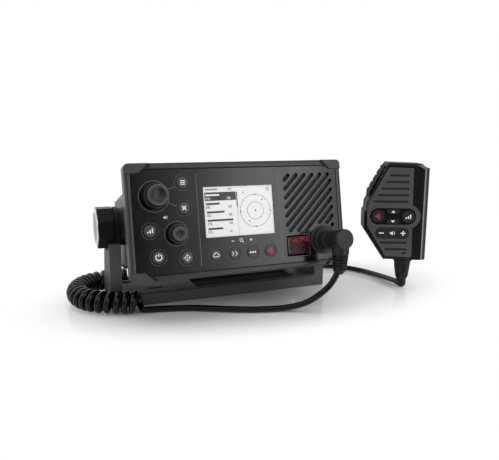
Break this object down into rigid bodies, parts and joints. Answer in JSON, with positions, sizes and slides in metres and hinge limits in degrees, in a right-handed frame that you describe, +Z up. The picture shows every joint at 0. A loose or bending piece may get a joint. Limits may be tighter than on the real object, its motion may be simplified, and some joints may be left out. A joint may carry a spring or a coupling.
{
  "type": "vhf marine radio",
  "caption": "Fixed-mount marine VHF radio on a gimbal bracket, with a fist microphone on a curly cord: display, knobs, keys, speaker grille and covered distress key.",
  "frame": {"origin": "centre of the bracket's two screw slots, on the face that it stands on", "axes": "+X to the right of a person facing the radio, along the pivot axis; +Y away from that person; +Z up"},
  "size_m": [0.363, 0.1802, 0.1376],
  "materials": {
    "bracket": "moulded nylon, fine grain",
    "frame": "fine grain",
    "panel": "satin",
    "trim": "satin",
    "rubber": "matte",
    "case": "semi-gloss black powder coat",
    "steel": "plain",
    "brass": "plain",
    "nickel": "satin nickel",
    "window": "clear",
    "display": "backlit white",
    "cone": "treated paper",
    "magnet": "plain",
    "board": "solder mask",
    "shield": "folded sheet",
    "key": "soft touch",
    "knob": "soft touch",
    "gimbal": "moulded, fine grain",
    "distress": "red",
    "cover": "clear red",
    "plug": "satin",
    "cord": "glossy",
    "handset": "fine grain"
  },
  "bodies": {
    "root": {"bracket": "bracket", "cord_lead": "cord", "cord_curl": "cord", "cord_tail": "cord"},
    "radio": {"front_bezel": "frame", "corner_caps": "frame", "side_rails": "trim", "front_panel": "panel", "front_gasket": "rubber", "knob_rings": "trim", "lcd_window": "window", "lcd_module": "display", "speaker_frame": "frame", "speaker_cone": "cone", "speaker_magnet": "magnet", "key_mat": "rubber", "main_board": "board", "encoder_bodies": "shield", "distress_pin": "steel", "rear_case": "case", "pivot_inserts": "brass", "friction_washers": "rubber", "case_screws": "steel", "rf_module": "frame", "antenna_socket": "nickel", "rear_glands": "frame", "mic_socket": "frame", "plug_body": "plug", "plug_boot": "rubber"},
    "knob_left": {"gimbal_knob_left": "gimbal", "gimbal_stud_left": "steel"},
    "knob_right": {"gimbal_knob_right": "gimbal", "gimbal_stud_right": "steel"},
    "channel_push": {"channel_shaft": "shield"},
    "channel_dial": {"channel_knob": "knob"},
    "volume_push": {"volume_shaft": "shield"},
    "volume_dial": {"volume_knob": "knob"},
    "distress_button": {"distress_key": "distress"},
    "distress_lid": {"distress_cover": "cover"},
    "lock_ring": {"plug_ring": "plug"},
    "handset": {"handset_front": "handset", "handset_rear": "handset", "handset_boot": "rubber", "handset_hang_stud": "steel", "handset_speaker": "magnet"},
    "talk_bar": {"push_to_talk": "rubber"},
    "volume_rocker": {"handset_rocker": "key"},
    "b_key_menu": {"key_menu": "key"},
    "b_key_clear": {"key_clear": "key"},
    "b_key_power_level": {"key_power_level": "key"},
    "b_key_power": {"key_power": "key"},
    "b_key_waypoint": {"key_waypoint": "key"},
    "b_key_weather": {"key_weather": "key"},
    "b_key_scan": {"key_scan": "key"},
    "b_key_triple_watch": {"key_triple_watch": "key"},
    "b_key_calling": {"key_calling": "key"},
    "b_handset_key_calling": {"handset_key_calling": "key"},
    "b_handset_key_power_level": {"handset_key_power_level": "key"},
    "b_handset_key_up": {"handset_key_up": "key"},
    "b_handset_key_down": {"handset_key_down": "key"}
  },
  "joints": [
    {"name": "radio_tilt", "type": "hinge", "parent": "root", "child": "radio", "pos_m": [0, 0, 0.0749], "axis": [1, 0, 0], "range_deg": [-20, 15], "deforming": ["cord_lead"]},
    {"name": "knob_left_turn", "type": "hinge", "parent": "radio", "child": "knob_left", "pos_m": [-0.115, 0, 0.0749], "axis": [-1, 0, 0], "continuous": true},
    {"name": "knob_right_turn", "type": "hinge", "parent": "radio", "child": "knob_right", "pos_m": [0.115, 0, 0.0749], "axis": [1, 0, 0], "continuous": true},
    {"name": "channel_press", "type": "slide", "parent": "radio", "child": "channel_push", "axis": [0, 0.983, -0.1834], "range_m": [0, 0.0006], "stiffness_N_per_m": 4000, "springref_m": -0.0002},
    {"name": "channel_turn", "type": "hinge", "parent": "channel_push", "child": "channel_dial", "pos_m": [-0.0794, -0.0749, 0.11126], "axis": [0, -0.983, 0.1834], "continuous": true},
    {"name": "volume_press", "type": "slide", "parent": "radio", "child": "volume_push", "axis": [0, 0.983, -0.1834], "range_m": [0, 0.0006], "stiffness_N_per_m": 4000, "springref_m": -0.0002},
    {"name": "volume_turn", "type": "hinge", "parent": "volume_push", "child": "volume_dial", "pos_m": [-0.062, -0.07697, 0.07838], "axis": [0, -0.983, 0.1834], "continuous": true},
    {"name": "distress_lid_flip", "type": "hinge", "parent": "radio", "child": "distress_lid", "pos_m": [0.05345, -0.07223, 0.06559], "axis": [-1, 0, 0], "range_deg": [0, 95], "stiffness_Nm_per_rad": 0.002, "springref_deg": -28.65},
    {"name": "distress_press", "type": "slide", "parent": "radio", "child": "distress_button", "axis": [0, 0.983, -0.1834], "range_m": [0, 0.0009], "stiffness_N_per_m": 1500, "springref_m": -0.0004},
    {"name": "lock_ring_turn", "type": "hinge", "parent": "radio", "child": "lock_ring", "pos_m": [0.0804, -0.07836, 0.06328], "axis": [0, -0.983, 0.1834], "continuous": true},
    {"name": "handset_lift", "type": "slide", "parent": "root", "child": "handset", "axis": [0, 0, 1], "range_m": [0, 0.06], "deforming": ["cord_tail"]},
    {"name": "talk_bar_squeeze", "type": "hinge", "parent": "handset", "child": "talk_bar", "pos_m": [0.15299, -0.04188, 0.0972], "axis": [0.454, 0.891, 0], "range_deg": [0, 4], "stiffness_Nm_per_rad": 2, "springref_deg": -1.72},
    {"name": "volume_rock", "type": "hinge", "parent": "handset", "child": "volume_rocker", "pos_m": [0.16668, -0.06457, 0.0613], "axis": [0, 0, 1], "range_deg": [-2.5, 2.5], "stiffness_Nm_per_rad": 1},
    {"name": "press_key_menu", "type": "slide", "parent": "radio", "child": "b_key_menu", "axis": [0, 0.983, -0.1834], "range_m": [0, 0.0006], "stiffness_N_per_m": 1500, "springref_m": -0.0003},
    {"name": "press_key_clear", "type": "slide", "parent": "radio", "child": "b_key_clear", "axis": [0, 0.983, -0.1834], "range_m": [0, 0.0006], "stiffness_N_per_m": 1500, "springref_m": -0.0003},
    {"name": "press_key_power_level", "type": "slide", "parent": "radio", "child": "b_key_power_level", "axis": [0, 0.983, -0.1834], "range_m": [0, 0.0006], "stiffness_N_per_m": 1500, "springref_m": -0.0003},
    {"name": "press_key_power", "type": "slide", "parent": "radio", "child": "b_key_power", "axis": [0, 0.983, -0.1834], "range_m": [0, 0.0006], "stiffness_N_per_m": 1500, "springref_m": -0.0003},
    {"name": "press_key_waypoint", "type": "slide", "parent": "radio", "child": "b_key_waypoint", "axis": [0, 0.983, -0.1834], "range_m": [0, 0.0006], "stiffness_N_per_m": 1500, "springref_m": -0.0003},
    {"name": "press_key_weather", "type": "slide", "parent": "radio", "child": "b_key_weather", "axis": [0, 0.983, -0.1834], "range_m": [0, 0.0006], "stiffness_N_per_m": 1500, "springref_m": -0.0003},
    {"name": "press_key_scan", "type": "slide", "parent": "radio", "child": "b_key_scan", "axis": [0, 0.983, -0.1834], "range_m": [0, 0.0006], "stiffness_N_per_m": 1500, "springref_m": -0.0003},
    {"name": "press_key_triple_watch", "type": "slide", "parent": "radio", "child": "b_key_triple_watch", "axis": [0, 0.983, -0.1834], "range_m": [0, 0.0006], "stiffness_N_per_m": 1500, "springref_m": -0.0003},
    {"name": "press_key_calling", "type": "slide", "parent": "radio", "child": "b_key_calling", "axis": [0, 0.983, -0.1834], "range_m": [0, 0.0006], "stiffness_N_per_m": 1500, "springref_m": -0.0003},
    {"name": "press_handset_key_calling", "type": "slide", "parent": "handset", "child": "b_handset_key_calling", "axis": [0.454, 0.891, 0], "range_m": [0, 0.0006], "stiffness_N_per_m": 1500, "springref_m": -0.0003},
    {"name": "press_handset_key_power_level", "type": "slide", "parent": "handset", "child": "b_handset_key_power_level", "axis": [0.454, 0.891, 0], "range_m": [0, 0.0006], "stiffness_N_per_m": 1500, "springref_m": -0.0003},
    {"name": "press_handset_key_up", "type": "slide", "parent": "handset", "child": "b_handset_key_up", "axis": [0.454, 0.891, 0], "range_m": [0, 0.0006], "stiffness_N_per_m": 1500, "springref_m": -0.0003},
    {"name": "press_handset_key_down", "type": "slide", "parent": "handset", "child": "b_handset_key_down", "axis": [0.454, 0.891, 0], "range_m": [0, 0.0006], "stiffness_N_per_m": 1500, "springref_m": -0.0003}
  ]
}
